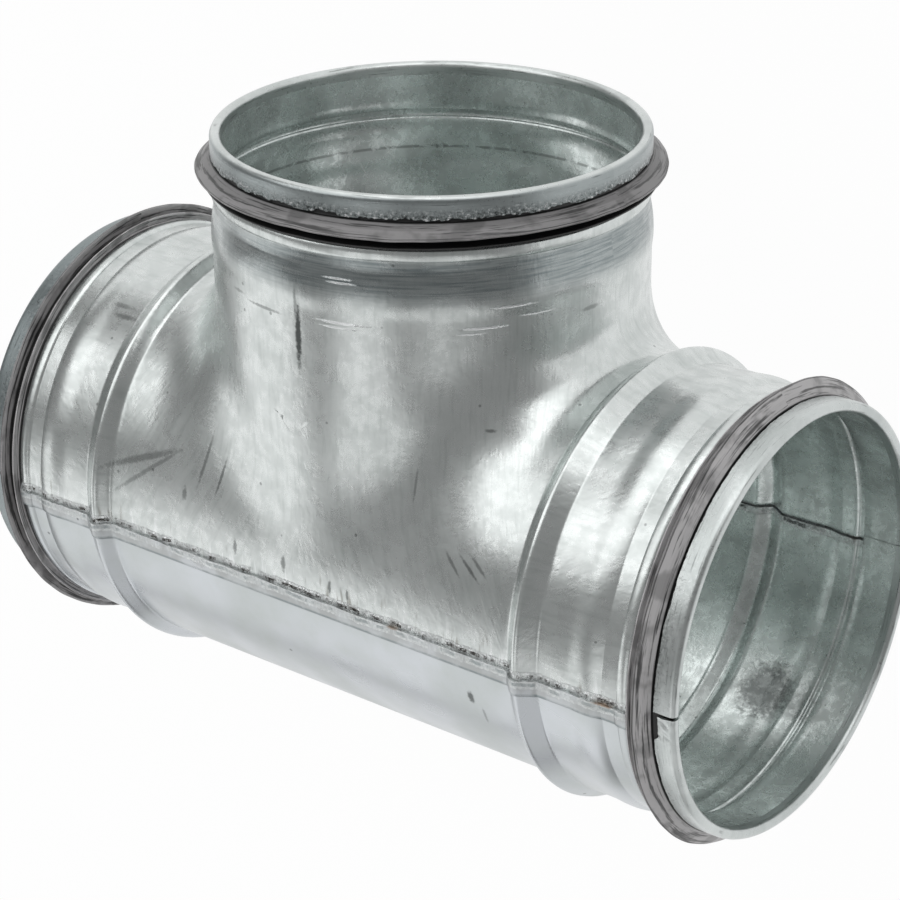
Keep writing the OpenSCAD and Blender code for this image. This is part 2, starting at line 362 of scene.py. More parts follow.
def root_surface(c, s, steps):
    """The drawn root, row by row from the branch's wall to the edge of the drawn area. Each column is a cubic
    Hermite curve: it leaves the wall straight down and lands on the run along the line to the column's end.
    Its pull is 1.1 times its chord. Beside the beads it takes most of the way, at the front and back less."""
    r = s.wall
    facing = np.sin(c.around) ** 2
    share = 0.85 - 0.60 * facing
    height = s.wall_r * np.cos(c.around) + 8 + 27 * facing
    top = spread(r * np.cos(c.around), r * np.sin(c.around), height)

    def landing(part):
        x = r * np.cos(c.around) * (1 - part) + c.edge_x * part
        return on_run(x, c.around * (1 - part) + c.turn * part, r)

    foot = landing(share)
    heading = landing(share + 0.01) - landing(share - 0.01)
    pull = 1.1 * np.linalg.norm(foot - top, axis=1, keepdims=True)
    away = pull * heading / np.linalg.norm(heading, axis=1, keepdims=True)
    t = np.linspace(0, 1, steps)[:, None, None]
    down = pull * np.array([0.0, 0.0, -1.0])
    curve = top * (1 + 2 * t) * (1 - t) ** 2 + down * t * (1 - t) ** 2
    curve = curve + foot * t * t * (3 - 2 * t) + away * t * t * (t - 1)
    beyond = np.stack([landing(share + (1 - share) * part) for part in np.linspace(0, 1, 6)[1:]])
    return top, np.concatenate([curve, beyond])


def round_over(grid, middle, reach):
    """Takes the crease out of a grid's middle column. Below the first row, the depth and the height of the
    columns up to reach from it become parabolas over x, a + b x², with the last one's value and slope."""
    near = middle + np.arange(-reach, reach + 1)
    last = grid[1:, middle + reach]
    step = grid[1:, middle + reach + 1] - grid[1:, middle + reach - 1]
    b = step[:, 1:] / step[:, :1] / (2 * last[:, :1])
    over = grid[1:, near, :1] ** 2 - last[:, None, :1] ** 2
    grid[1:, near, 1:] = last[:, None, 1:] + b[:, None] * over


def along(points, start=0.0):
    """Distance down each column of a grid from its first row, added to start."""
    steps = np.linalg.norm(np.diff(points, axis=0), axis=2)
    return start + np.concatenate([np.zeros((1, points.shape[1])), np.cumsum(steps, axis=0)])


def upper_sheet(s):
    """Middle of the upper half: the branch and its root in one closed grid, the two ends of the run, which go
    on from the root's columns beside the beads, and a strip along each seam."""
    c = root_columns(s)
    sheet = Sheet()
    d = rows(SPLIT, *BAND_ROWS, (33.0, 3))
    r = spigot_radius(d, s, branch=True)[:, None]
    wall = spread(r * np.cos(c.around), r * np.sin(c.around), (s.branch_h - d)[:, None])
    top, root = root_surface(c, s, 20)
    for middle in (c.quarter, 3 * c.quarter):
        round_over(root, middle, 8)
    share = np.linspace(0, 1, 5)[1:-1, None, None]
    main = np.concatenate([wall, wall[-1] * (1 - share) + top * share, root]) * c.sign
    across = np.linspace(0, 2 * np.pi, 4 * c.quarter + 1) * s.wall
    down = along(main)
    down = np.concatenate([down, down[:, :1]], axis=1)
    sheet.add(main, spread(across, down), closed=True)

    d = rows(SPLIT, *BAND_ROWS, *BEAD_ROWS, (s.half_run - s.root_x, 2))[::-1]
    r = spigot_radius(d, s)
    edge = np.where(d < s.lap_start - 0.01, below(s.end_joint, r), below(ROOT_LOW, r))
    for middle in (0, 2 * c.quarter):
        pick = (middle + np.arange(-SIDE_COLUMNS, SIDE_COLUMNS + 1)) % (4 * c.quarter)
        turn = edge[:, None] * (c.turn[pick] / below(ROOT_LOW, s.wall))
        end = on_run((s.half_run - d)[:, None], turn, r[:, None]) * c.sign[pick]
        u = np.arange(-SIDE_COLUMNS, SIDE_COLUMNS + 1) * across[1] + across[middle]
        sheet.add(end, spread(u, along(end, down[-1, pick])))

    keep = d > s.lap_start - 0.01
    x = np.concatenate([(d - s.half_run)[keep][::-1], c.edge_x[SIDE_COLUMNS + 1 : c.quarter] * -1])
    x = np.concatenate([x, [0.0], -x[::-1]])
    r = np.concatenate([r[keep][::-1], np.full(2 * SEAM_COLUMNS - 1, s.wall), r[keep]])
    inside = rows(ROOT_LOW, (s.lap_low, 5))
    outside = rows(ROOT_LOW, (s.lap_top - s.joggle_w, 1), (s.lap_top, 5), (s.lap_low, 4))
    out = (s.sheet + LAP_GAP) * smooth(outside, s.lap_top - s.joggle_w, s.lap_top)
    front = strip(x, r, inside, 0 * inside, -1)
    sheet.add(front, spread(x, along(front)))
    back = strip(x, r, outside, out, 1)[:, ::-1]
    sheet.add(back, spread(x[::-1], along(back)))
    return sheet


def strip(x, r, depth, out, side):
    """A strip along the seam: columns at x with radius r, rows at the depths below the centreline, each moved
    out by its share along the profile's normal. side is -1 at the front and 1 at the back."""
    dx, dr = np.gradient(x), np.gradient(r)
    size = np.hypot(dx, dr)
    x = x - out[:, None] * dr / size
    turn = below(depth[:, None], r)
    return on_run(x, turn * side, r + out[:, None] * dx / size)


def lower_sheet(s):
    """Middle of the lower half: rows go from the front edge round the bottom to the back edge. In front the
    edge steps out over the upper half, between the two recesses."""
    d = rows(SPLIT, *BAND_ROWS, *BEAD_ROWS, (s.half_run - s.root_x, 2))
    r = spigot_radius(d, s)
    middle = rows(-s.root_x, (s.root_x, 34))[1:-1]
    x = np.concatenate([d - s.half_run, middle, (s.half_run - d)[::-1]])
    r = np.concatenate([r, np.full_like(middle, s.wall), r[::-1]])
    lapped = np.abs(x) < s.half_run - s.lap_start + 0.01
    lap = rows(0, (1, 5), (2, 6))[:-1]
    low, foot = s.lap_low, s.lap_low + s.joggle_w
    cut = s.lap_top + 0.10 * uneven(x / 30, (4, 9, 17), 3) + 0.09 * uneven(x / 30, (41, 66, 89), 4)
    front_edge = np.where(lapped, cut, s.end_joint + 0.15)
    over, under = front_edge + (low - front_edge) * lap[:, None], low + s.joggle_w * (lap[:, None] - 1)
    depth = np.where(lap[:, None] < 1, over, under)
    front = np.arcsin(depth / r)
    back_edge = np.pi - np.arcsin(np.where(lapped, s.lap_top + 0.1, s.end_joint + 0.15) / r)
    share = np.linspace(0, 1, 104)[:, None]
    first = np.arcsin(foot / r)
    angle = np.concatenate([front, first * (1 - share) + back_edge * share])
    lift = (s.sheet + LAP_GAP) * (1 - smooth(lap, 1, 2))
    out = np.concatenate([lift, np.zeros(len(share))])[:, None] * lapped
    dx, dr = np.gradient(x), np.gradient(r)
    size = np.hypot(dx, dr)
    radius = r + out * dx / size
    points = spread(x - out * dr / size, -radius * np.cos(angle), -radius * np.sin(angle))
    sheet = Sheet()
    sheet.add(points, spread(x, angle * s.wall))
    return sheet


def rolled_edge(s, turn, edge_l):
    """Middle of a rolled end, as rows of [distance from the end, radius] and columns at the angles turn: from
    inside the recess, round the fold and back over the seal to an edge whose length follows edge_l."""
    arc = np.linspace(-np.pi / 2, np.pi / 2, 11)
    inner = np.linspace(SPLIT, s.fold_at, 4)[:-1]
    share = np.linspace(0, 1, 7)[1:, None]
    d = np.concatenate([inner, s.fold_at - s.fold * np.cos(arc)])[:, None] + 0 * turn
    d = np.concatenate([d, s.fold_at + (edge_l - s.fold_at) * share])
    r = np.concatenate([0 * inner + s.seat, s.seat + s.fold * (1 + np.sin(arc)), np.full(6, s.hem)])[:, None]
    return d, r + 0 * turn


def ragged(turn, s, seed, strength):
    """Length of the hem round the end: shallow waves from the rolling, with a fine torn edge on them. The
    stronger they are, the shorter the hem."""
    waves = 0.30 * uneven(turn, (19, 23, 31, 34), seed) + 0.13 * uneven(turn, (61, 83, 97), seed + 1)
    fine = 0.10 * uneven(turn, (151, 187, 223, 263), seed + 2)
    return s.hem_l - 0.1 - 0.25 * strength + np.minimum((waves + fine) * strength, 0.3)


def rolled_ends(s, half):
    """The rolled ends of one half: whole on the branch, and from joint to joint on the run. The lower half's
    hem is cut back, dented and a little proud at the right end's front joint, over about 7 mm."""
    sheet = Sheet()
    if half > 0:
        turn = np.linspace(0, 2 * np.pi, 1000, endpoint=False)
        d, r = rolled_edge(s, turn, ragged(turn, s, 5, 1.0))
        points = spread(r * np.cos(turn), r * np.sin(turn), s.branch_h - d)[::-1]
        v = np.concatenate([d, d[:, :1]], axis=1)[::-1]
        sheet.add(points, spread(np.append(turn, 2 * np.pi) * s.wall, v), closed=True)
        last = below(s.end_joint - 0.12, s.hem)
        first = -last
    else:
        first = below(s.end_joint + 0.12, s.hem)
        last = 2 * np.pi - below(s.end_joint + 0.65, s.hem)
    turn = np.linspace(first, last, 560)
    for end in (-1, 1):
        edge = ragged(turn, s, 40 + end, 0.3)
        depth = -s.hem * np.cos(turn)
        dented = half < 0 and end > 0
        patch = np.where(turn > np.pi, 1 - smooth(depth, 6.6, 7.6), 0) * dented
        d, r = rolled_edge(s, turn, edge - 1.0 * patch)
        hill = np.sin(depth * 2.1 + 0.9 * d) * np.sin(d * 1.3 + 0.4 * depth)
        r = r + patch * smooth(r, s.hem - 0.4, s.hem) * (0.10 + 0.16 * hill)
        points = on_run(end * (s.half_run - d), turn, r)
        flat = spread(turn * s.wall, d)
        if end > 0:
            points, flat = points[::-1], flat[::-1]
        sheet.add(points, flat)
    return sheet


def seal_outline(s):
    """Section of a seal as rows of [distance from the end, radius, number of the corner]. Its corners are cut
    three times, which rounds them. A narrow groove stays between the hem's edge and the first lip."""
    foot_in, foot_out = s.seat + s.sheet / 2 + 0.02, s.rim_r - s.sheet - 0.02
    body = s.seat + s.sheet / 2 + 1.7
    front, back = s.hem_l + 0.25, s.seat_l - 0.02
    tip, inner = s.hem_l + 2.9, back - 0.6
    outline = [
        (s.fold_at, foot_in),
        (s.fold_at, foot_out),
        (front, foot_out),
        (front + 0.05, body + 0.1),
        (front + 0.3, body + 0.5),
        (tip - 0.25, s.seal_r - 0.25),
        (tip - 0.05, s.seal_r),
        (tip + 0.15, s.seal_r),
        (tip + 0.4, s.seal_r - 0.25),
        (front + 2.05, body - 0.3),
        (inner - 1.4, body - 0.3),
        (inner - 0.25, s.rim_r + 1.6),
        (inner - 0.1, s.rim_r + 1.8),
        (inner + 0.1, s.rim_r + 1.8),
        (inner + 0.25, s.rim_r + 1.6),
        (inner - 0.4, body),
        (back, foot_out),
        (back, foot_in),
    ]
    outline = np.column_stack([outline, np.arange(len(outline))])
    for _ in range(3):
        after = np.roll(outline, -1, axis=0)
        outline = np.stack([0.75 * outline + 0.25 * after, 0.25 * outline + 0.75 * after], axis=1)
        outline = outline.reshape(-1, 3)
    return outline


def seal_points(s, turn, seed):
    """A seal as rows round its section and columns at the angles turn. The lips wander a little sideways and
    sag by up to 0.3 mm, more the farther they stand out."""
    outline = seal_outline(s)
    d, r = outline[:, :1], outline[:, 1:2]
    lift = np.clip((r - s.rim_r) / (s.seal_r - s.rim_r), 0, 1)
    sway = 0.12 * uneven(turn, (3, 5, 8), seed) + 0.05 * uneven(turn, (23, 37), seed + 1)
    sag = 0.06 * uneven(turn, (4, 7, 11), seed + 2) + 0.03 * uneven(turn, (29, 41), seed + 3)
    return d + lift * sway, r - lift * (0.12 + sag)


def make_seal(name, s, material, seed, place, inward):
    """Makes one seal. place turns distances from the end, radii and angles into points, and inward says that
    it turns the section over, so the faces are turned back."""
    turn = np.linspace(0, 2 * np.pi, 300, endpoint=False)
    d, r = seal_points(s, turn, seed)
    index = np.arange(d.size).reshape(d.shape)
    index = np.concatenate([index, index[:, :1]], axis=1)
    index = np.concatenate([index, index[:1]])
    corner = seal_outline(s)[:, 2]
    v = np.append(corner, corner[-1] + 0.1)[:, None]
    uv = corners(spread(np.append(turn, 2 * np.pi) * s.rim_r, v)).reshape(-1, 4, 2)
    faces = corners(index).reshape(-1, 4)
    if inward:
        faces, uv = faces[:, ::-1], uv[:, ::-1]
    points = place(d, r, turn).reshape(-1, 3)
    return make_piece(name, points, faces, uv, [material], "seal_rubber", name.replace("seal", "gasket"))


SOFT = {"interpolation_type": "SMOOTHSTEP"}
TIMES = {"operation": "MULTIPLY"}
TIMES_PLUS = {"operation": "MULTIPLY_ADD"}


def add(tree, kind, inputs=(), out=0, **settings):
    """Adds a node. inputs fills its sockets in their order, or by name or number where it is a dict, each
    with a value or another node's output. settings are its properties. Returns the output asked for."""
    made = tree.nodes.new("ShaderNode" + kind)
    for name, value in settings.items():
        setattr(made, name, value)
    for name, value in inputs.items() if isinstance(inputs, dict) else enumerate(inputs):
        if isinstance(value, bpy.types.NodeSocket):
            tree.links.new(value, made.inputs[name])
        else:
            made.inputs[name].default_value = value
    return made.outputs[out] if made.outputs else None


def empty_tree(owner):
    """The node tree of a material or a world, with nothing in it."""
    owner.use_nodes = True
    owner.node_tree.nodes.clear()
    return owner.node_tree


def new_material(name):
    """A new material, its empty node tree, its Object coordinates and its own UV map."""
    material = bpy.data.materials.new(name)
    tree = empty_tree(material)
    return material, tree, add(tree, "TexCoord", out=3), add(tree, "UVMap", uv_map="Draw")


def grains(tree, vector, across, stretch=(1, 1, 1), detail=3.0, rough=0.55):
    """Noise with grains so many millimetres across, longer along an axis whose stretch is more than 1."""
    scale = [1 / (across * MM * k) for k in stretch]
    scaled = add(tree, "VectorMath", (vector, scale), **TIMES)
    return add(tree, "TexNoise", {"Vector": scaled, "Scale": 1.0, "Detail": detail, "Roughness": rough})


def window(tree, value, low, high, soft, full=1.0):
    """full between low and high and 0 outside, with edges as wide as soft outside them, in millimetres."""
    rise = add(tree, "MapRange", (value, (low - soft) * MM, low * MM, 0, 1), **SOFT)
    fall = add(tree, "MapRange", (value, high * MM, (high + soft) * MM, 1, 0), **SOFT)
    share = add(tree, "Math", (rise, fall), **TIMES)
    return add(tree, "Math", (share, full), **TIMES)


def patches(tree, place, marks, edge, ragged_by=0.6):
    """Soft spots with ragged edges. Each mark is a centre and a reach in millimetres in the part's frame, a
    strength and, where it slants, its slant in degrees as seen from the front. It is full within 0.4 of its
    reach and gone at 1, and edge, a noise, pushes its outline about."""
    push = add(tree, "Math", (edge, -0.5), operation="ADD")
    push = add(tree, "Math", (push, ragged_by * 2), **TIMES)
    total = None
    for centre, reach, strength, *slant in marks:
        away = add(tree, "VectorMath", (place, [k * MM for k in centre]), operation="SUBTRACT")
        for degrees in slant:
            back = {"Vector": away, "Angle": math.radians(-degrees)}
            away = add(tree, "VectorRotate", back, rotation_type="Z_AXIS")
        away = add(tree, "VectorMath", (away, [k * MM for k in reach]), operation="DIVIDE")
        away = add(tree, "VectorMath", (away,), out=1, operation="LENGTH")
        away = add(tree, "Math", (away, push), operation="ADD")
        spot = add(tree, "MapRange", (away, 0.4, 1.0, strength, 0), **SOFT)
        total = spot if total is None else add(tree, "Math", (total, spot), operation="MAXIMUM")
    return total


def coats(tree, ground, *layers):
    """A ground colour with more colours over it, in their order. Each layer is a factor and a colour."""
    base = (*ground, 1)
    for factor, over in layers:
        base = add(tree, "Mix", {"Factor": factor, 6: base, 7: (*over, 1)}, out=2, data_type="RGBA")
    return base


def mottle(tree, *steps):
    """Sum of soft steps, each a noise, the two values between which it steps and what it adds at each."""
    total = 0.0
    for step in steps:
        total = add(tree, "Math", (total, add(tree, "MapRange", step, **SOFT)), operation="ADD")
    return total


def surface(tree, base, metallic, rough, relief, *heights, strength=1.0):
    """Ends a material with its surface. Its bump is relief millimetres times the sum of heights, each a noise
    and its weight."""
    height = 0.0
    for noise, weight in heights:
        height = add(tree, "Math", (noise, weight, height), **TIMES_PLUS)
    bump = add(tree, "Bump", {"Strength": strength, "Distance": relief * MM, "Height": height})
    inputs = {"Base Color": base, "Metallic": metallic, "Roughness": rough, "Normal": bump}
    add(tree, "OutputMaterial", {"Surface": add(tree, "BsdfPrincipled", inputs)})


def weld_row(tree, place, y, at, dash_l, share):
    """A row of weld marks along the seam at y = at: dark dashes about dash_l millimetres long, which wander a
    little up and down, and the pale ridges above and below them. Returns the dashes and the ridges, both
    times share."""
    bend = grains(tree, place, 5.0, stretch=(1, 4, 4), detail=5.0)
    crumbs = grains(tree, place, 0.6, detail=4.0, rough=0.8)
    off = add(tree, "Math", (y, -(at + 1.35) * MM), operation="ADD")
    off = add(tree, "Math", (bend, 1.8 * MM, off), **TIMES_PLUS)
    off = add(tree, "Math", (crumbs, 0.9 * MM, off), **TIMES_PLUS)
    dash = grains(tree, place, dash_l, stretch=(1, 3, 3), detail=5.0, rough=0.7)
    broken = add(tree, "MapRange", (crumbs, 0.42, 0.54, 0.35, 1), **SOFT)
    gap = add(tree, "MapRange", (dash, 0.45, 0.57, 0, 0.95), **SOFT)
    gap = add(tree, "Math", (gap, broken), **TIMES)
    core = window(tree, off, -0.3, 0.3, 0.25, gap)
    filled = add(tree, "MapRange", (dash, 0.34, 0.52, 0.0, 0.8), **SOFT)
    filled = add(tree, "Math", (filled, broken), **TIMES)
    ridge = window(tree, off, -0.95, 0.95, 0.25, filled)
    return [add(tree, "Math", (marks, share), **TIMES) for marks in (core, ridge)]


# Where the lap ends beside the recess, to the left and right of the middle.
LAP_END = 88 * MM
# Heights between which a finish changes from the run's to the branch's.
TO_BRANCH = (60 * MM, 70 * MM)
# Marks as patches() takes them: centre, reach, strength and slant.
DARK_MARKS = (
    ((2.3, 59.0, 49.3), (1.0, 9.5, 4), 0.9),
    ((1.8, 66.0, 49.3), (0.6, 5.0, 4), 0.5),
    ((48.9, 63.3, 7.3), (1.2, 0.7, 4.0), 0.4),
    ((41.6, 41.6, 33.3), (1.8, 0.5, 1.2), 0.6),
    ((-8.0, 63.0, 48.8), (7.0, 0.5, 4), 0.5),
    ((-17.0, 64.0, 46.5), (3.0, 0.5, 4), 0.4),
    ((-49.0, 15.2, 47.2), (17.0, 1.1, 7), 0.45, 22),
    ((-47.0, 12.8, 47.5), (17.0, 0.7, 7), 0.4, 37),
    ((-30.0, 19.7, 45.8), (0.6, 9.5, 5), 0.5, -12),
    ((-24.7, 17.0, 47.0), (0.5, 6.5, 4), 0.6, -14),
    ((41.4, 15.6, 46.7), (4.0, 0.5, 4), 0.5, -44),
    ((46.0, 15.6, 46.8), (4.5, 0.5, 4), 0.6, -36),
    ((48.2, 16.7, 46.6), (4.0, 0.5, 4), 0.5, -36),
    ((-72.0, 41.0, 27.0), (4.5, 0.6, 1.5), 0.4),
    ((-69.5, 39.6, 29.6), (4.5, 0.6, 1.5), 0.4),
    ((29.0, 29.5, 44.3), (0.4, 5.0, 5), 0.4),
    ((-35.0, 10.5, 49.0), (0.9, 2.2, 4), 0.5),
    ((-19.0, 2.2, 49.4), (0.8, 2.4, 4), 0.6),
    ((-4.5, 2.4, 49.4), (0.9, 2.6, 4), 0.6),
    ((9.0, 0.6, 49.4), (0.6, 2.2, 4), 0.7),
    ((14.0, 0.3, 49.4), (0.5, 1.8, 4), 0.6),
)
LIGHT_MARKS = (
    ((12.0, 73.9, 47.5), (4.0, 0.3, 4), 1.0),
    ((13.0, 73.0, 47.5), (4.0, 0.3, 4), 1.0),
    ((13.0, 63.9, 47.5), (7.0, 0.4, 5), 1.0),
    ((12.0, 62.8, 47.5), (5.0, 0.3, 4), 0.8),
    ((38.0, 63.7, 31.0), (6.0, 0.4, 7), 1.0),
    ((36.0, 62.5, 33.0), (4.0, 0.3, 5), 0.8),
    ((42.0, 68.0, 26.0), (5.0, 0.4, 7), 1.0),
    ((44.0, 65.5, 20.0), (4.0, 0.3, 6), 0.8),
)


def drawn_zinc(name, finish):
    """Hot-dip galvanised steel drawn over a die. The draw has rubbed the bright spangle to a satin grey with
    a fine orange peel, faint streaks along the draw and greyer patches, so highlights are broad and grainy.
    A darker band below the branch's land, stronger to the right, is painted shade with rubbed streaks in it,
    and smut has run up from the seam's weld."""
    material, tree, place, draw = new_material(name)
    cloud = grains(tree, place, 16, detail=3.0)
    spangle = grains(tree, place, 4.5, detail=4.0, rough=0.65)
    peel = grains(tree, draw, 1.5, stretch=(1, 1.5, 1), detail=4.0, rough=0.6)
    streak = grains(tree, draw, 1.0, stretch=(1, 9, 1), detail=3.0)
    crumb = grains(tree, place, 0.8, detail=4.0, rough=0.7)
    x, y, _ = add(tree, "SeparateXYZ", (place,)).node.outputs

    flecks = (spangle, 0.35, 0.65, 0, 0.25)
    lines = (streak, 0.45, 0.70, 0, 0.25)
    tone = mottle(tree, (cloud, 0.35, 0.65, 0.1, 0.35), flecks, lines)

    # Painted shade: a darker band below the branch's land, stronger to the right, with rubbed streaks in it.
    rubs_and_painted_shade = grains(tree, draw, 0.5, stretch=(25, 1, 1), detail=4.0, rough=0.6)
    rubs_and_painted_shade = add(tree, "MapRange", (rubs_and_painted_shade, 0.35, 0.60, 0.95, 0.6), **SOFT)
    band = add(tree, "MapRange", (y, 67.0 * MM, 73.0 * MM, 0, 1), **SOFT)
    band = window(tree, y, 0, 78.0, 1.0, band)
    right = add(tree, "MapRange", (x, -35 * MM, 15 * MM, 0.6, 1.0), **SOFT)
    band = add(tree, "Math", (band, right), **TIMES)
    rubs_and_painted_shade = add(tree, "Math", (rubs_and_painted_shade, band), **TIMES)

    rising = grains(tree, place, 1.5, stretch=(1, 6, 6), detail=2.0)
    smut = add(tree, "MapRange", (rising, 0.60, 0.74, 0, 0.6), **SOFT)
    smut = window(tree, y, -7, -1.5, 7, smut)
    pale = add(tree, "MapRange", (rising, 0.42, 0.32, 0, 0.5), **SOFT)
    pale = window(tree, y, -7, -1.5, 7, pale)
    dashes, ridges = weld_row(tree, place, y, -2.7, 2.8, 1.0)
    scratch = patches(tree, place, LIGHT_MARKS, crumb)
    pit = add(tree, "TexVoronoi", {"Vector": place, "Scale": 1 / (9 * MM)})
    pit = add(tree, "MapRange", (pit, 0.03, 0.055, 0.5, 0), **SOFT)
    base = coats(
        tree,
        finish.zinc,
        (tone, finish.zinc_dull),
        (rubs_and_painted_shade, finish.zinc_rubbed_and_shade),
        (pale, finish.zinc_bright),
        (smut, finish.smut),
        (ridges, finish.zinc_bright),
        (dashes, finish.weld_dark_and_shade),
        (patches(tree, place, DARK_MARKS, crumb), finish.soot),
        (scratch, finish.zinc_bright),
        (pit, finish.soot),
    )
    rough = add(tree, "MapRange", (spangle, 0.3, 0.7, 0.24, 0.33), **SOFT)
    rough = add(tree, "Math", (rough, dashes), operation="MAXIMUM")
    heights = ((peel, 1.0), (streak, 0.5), (spangle, 0.7), (ridges, 3.0), (scratch, -3.0))
    surface(tree, base, 1.0, rough, 0.045, *heights)
    return material


def bright_zinc(name, finish):
    """Hot-dip galvanised steel that was only bent: its zinc is still smooth, pale and a little blue, with
    a few scuffs and specks. The lap is greyer than the rest, with a fainter row of weld marks along it, and a
    dark line of painted shade along the joggle below it."""
    material, tree, place, _ = new_material(name)
    cloud = grains(tree, place, 25, detail=2.0)
    spangle = grains(tree, place, 5.0, detail=4.0, rough=0.6)
    crumb = grains(tree, place, 0.8, detail=4.0, rough=0.7)
    _, y, z = add(tree, "SeparateXYZ", (place,)).node.outputs
    front = add(tree, "Math", (z, 40 * MM), operation="GREATER_THAN")
    tone = mottle(tree, (cloud, 0.35, 0.65, 0, 0.5), (spangle, 0.4, 0.7, 0, 0.25))
    scuff = grains(tree, place, 3.0, stretch=(1, 3, 3), detail=5.0, rough=0.75)
    scuff = add(tree, "MapRange", (scuff, 0.66, 0.74, 0, 0.6), **SOFT)
    worn = add(tree, "MapRange", (spangle, 0.35, 0.6, 0.3, 0.8), **SOFT)
    worn = add(tree, "Math", (worn, front), **TIMES)
    faint = add(tree, "Math", (front, 0.8), **TIMES)
    dashes, ridges = weld_row(tree, place, y, -4.3, 3.5, faint)
    stains = (((46.4, -15.3, 47.0), (1.2, 2.2, 4), 0.8), ((49.0, -19.5, 45.0), (0.5, 3.0, 4), 0.4))
    burns = (((82.6, -3.4, 49.4), (3.0, 0.7, 4), 0.8), ((27.0, -3.4, 49.4), (2.0, 0.5, 4), 0.6))
    pit = add(tree, "TexVoronoi", {"Vector": place, "Scale": 1 / (11 * MM)})
    pit = add(tree, "MapRange", (pit, 0.025, 0.05, 0.6, 0), **SOFT)
    base = coats(
        tree,
        finish.zinc_bent,
        (tone, finish.zinc_dull),
        (scuff, finish.zinc_worn),
        (window(tree, y, -7.2, -3.0, 0.3, worn), finish.zinc_worn),
        (ridges, finish.zinc),
        (dashes, finish.zinc_rubbed_and_shade),
        # Painted shade: a dark line along the joggle's step below the lap.
        (window(tree, y, -7.6, -6.9, 0.4, worn), finish.zinc_rubbed_and_shade),
        (patches(tree, place, stains, crumb), finish.soot),
        (patches(tree, place, burns, crumb), finish.weld),
        (pit, finish.soot),
    )
    rough = add(tree, "MapRange", (cloud, 0.3, 0.7, 0.26, 0.36), **SOFT)
    surface(tree, base, 1.0, rough, 0.02, (spangle, 1.0), (crumb, 0.25), (ridges, 2.0))
    return material


def inner_zinc(name, finish):
    """The inner face of the galvanised sheet: the die's oil and a film of oxide have made it half matte and
    blotchy, with clusters of dark specks and a stronger spangle. Along the joint inside runs a dark line of
    painted shade, with a ridge of weld and a few burns, and the drawing tool has left a broken dark ring in
    the branch."""
    material, tree, place, draw = new_material(name)
    cloud = grains(tree, place, 14, detail=3.0)
    spangle = grains(tree, place, 3.0, detail=5.0, rough=0.7)
    peel = grains(tree, draw, 1.4, stretch=(1, 1.4, 1), detail=3.0)
    speck = grains(tree, place, 1.1, detail=3.0, rough=0.8)
    x, y, _ = add(tree, "SeparateXYZ", (place,)).node.outputs
    lapped = add(tree, "Math", (x,), operation="ABSOLUTE")
    lapped = add(tree, "Math", (lapped, LAP_END), operation="LESS_THAN")
    tone = mottle(tree, (cloud, 0.38, 0.62, 0, 0.6), (spangle, 0.35, 0.65, 0, 0.3))
    dots = add(tree, "MapRange", (speck, 0.66, 0.70, 0, 1), **SOFT)
    crowd = add(tree, "MapRange", (cloud, 0.48, 0.60, 0.1, 1), **SOFT)
    dots = add(tree, "Math", (dots, crowd), **TIMES)
    blots = (((74.6, -39.0, -29.3), (9, 11, 9), 0.75), ((85.0, -40, -29), (5, 7, 7), 0.4))
    dashes, ridges = weld_row(tree, place, y, -4.1, 8.0, lapped)
    # Painted shade: a dark line along the open joint inside.
    joint = window(tree, y, -3.5, -3.1, 0.3, 0.5)
    joint = add(tree, "Math", (joint, lapped), **TIMES)
    ring = add(tree, "MapRange", (spangle, 0.42, 0.52, 0, 0.5), **SOFT)
    ring = window(tree, y, 71.3, 71.7, 0.25, ring)
    gold = add(tree, "MapRange", (grains(tree, place, 5.0, detail=3.0), 0.62, 0.66, 0, 0.7))
    gold = add(tree, "Math", (ridges, gold), **TIMES)
    base = coats(
        tree,
        finish.zinc_inside,
        (tone, finish.zinc_dull),
        (dots, finish.soot),
        (patches(tree, place, blots, speck), finish.soot),
        (ridges, finish.zinc_bright),
        (gold, finish.weld),
        (dashes, finish.soot),
        (joint, finish.weld_dark_and_shade),
        (ring, finish.soot),
    )
    rough = add(tree, "MapRange", (spangle, 0.3, 0.7, 0.20, 0.34), **SOFT)
    surface(tree, base, 0.8, rough, 0.05, (peel, 1.0), (ridges, 3.0), (spangle, 1.0))
    return material


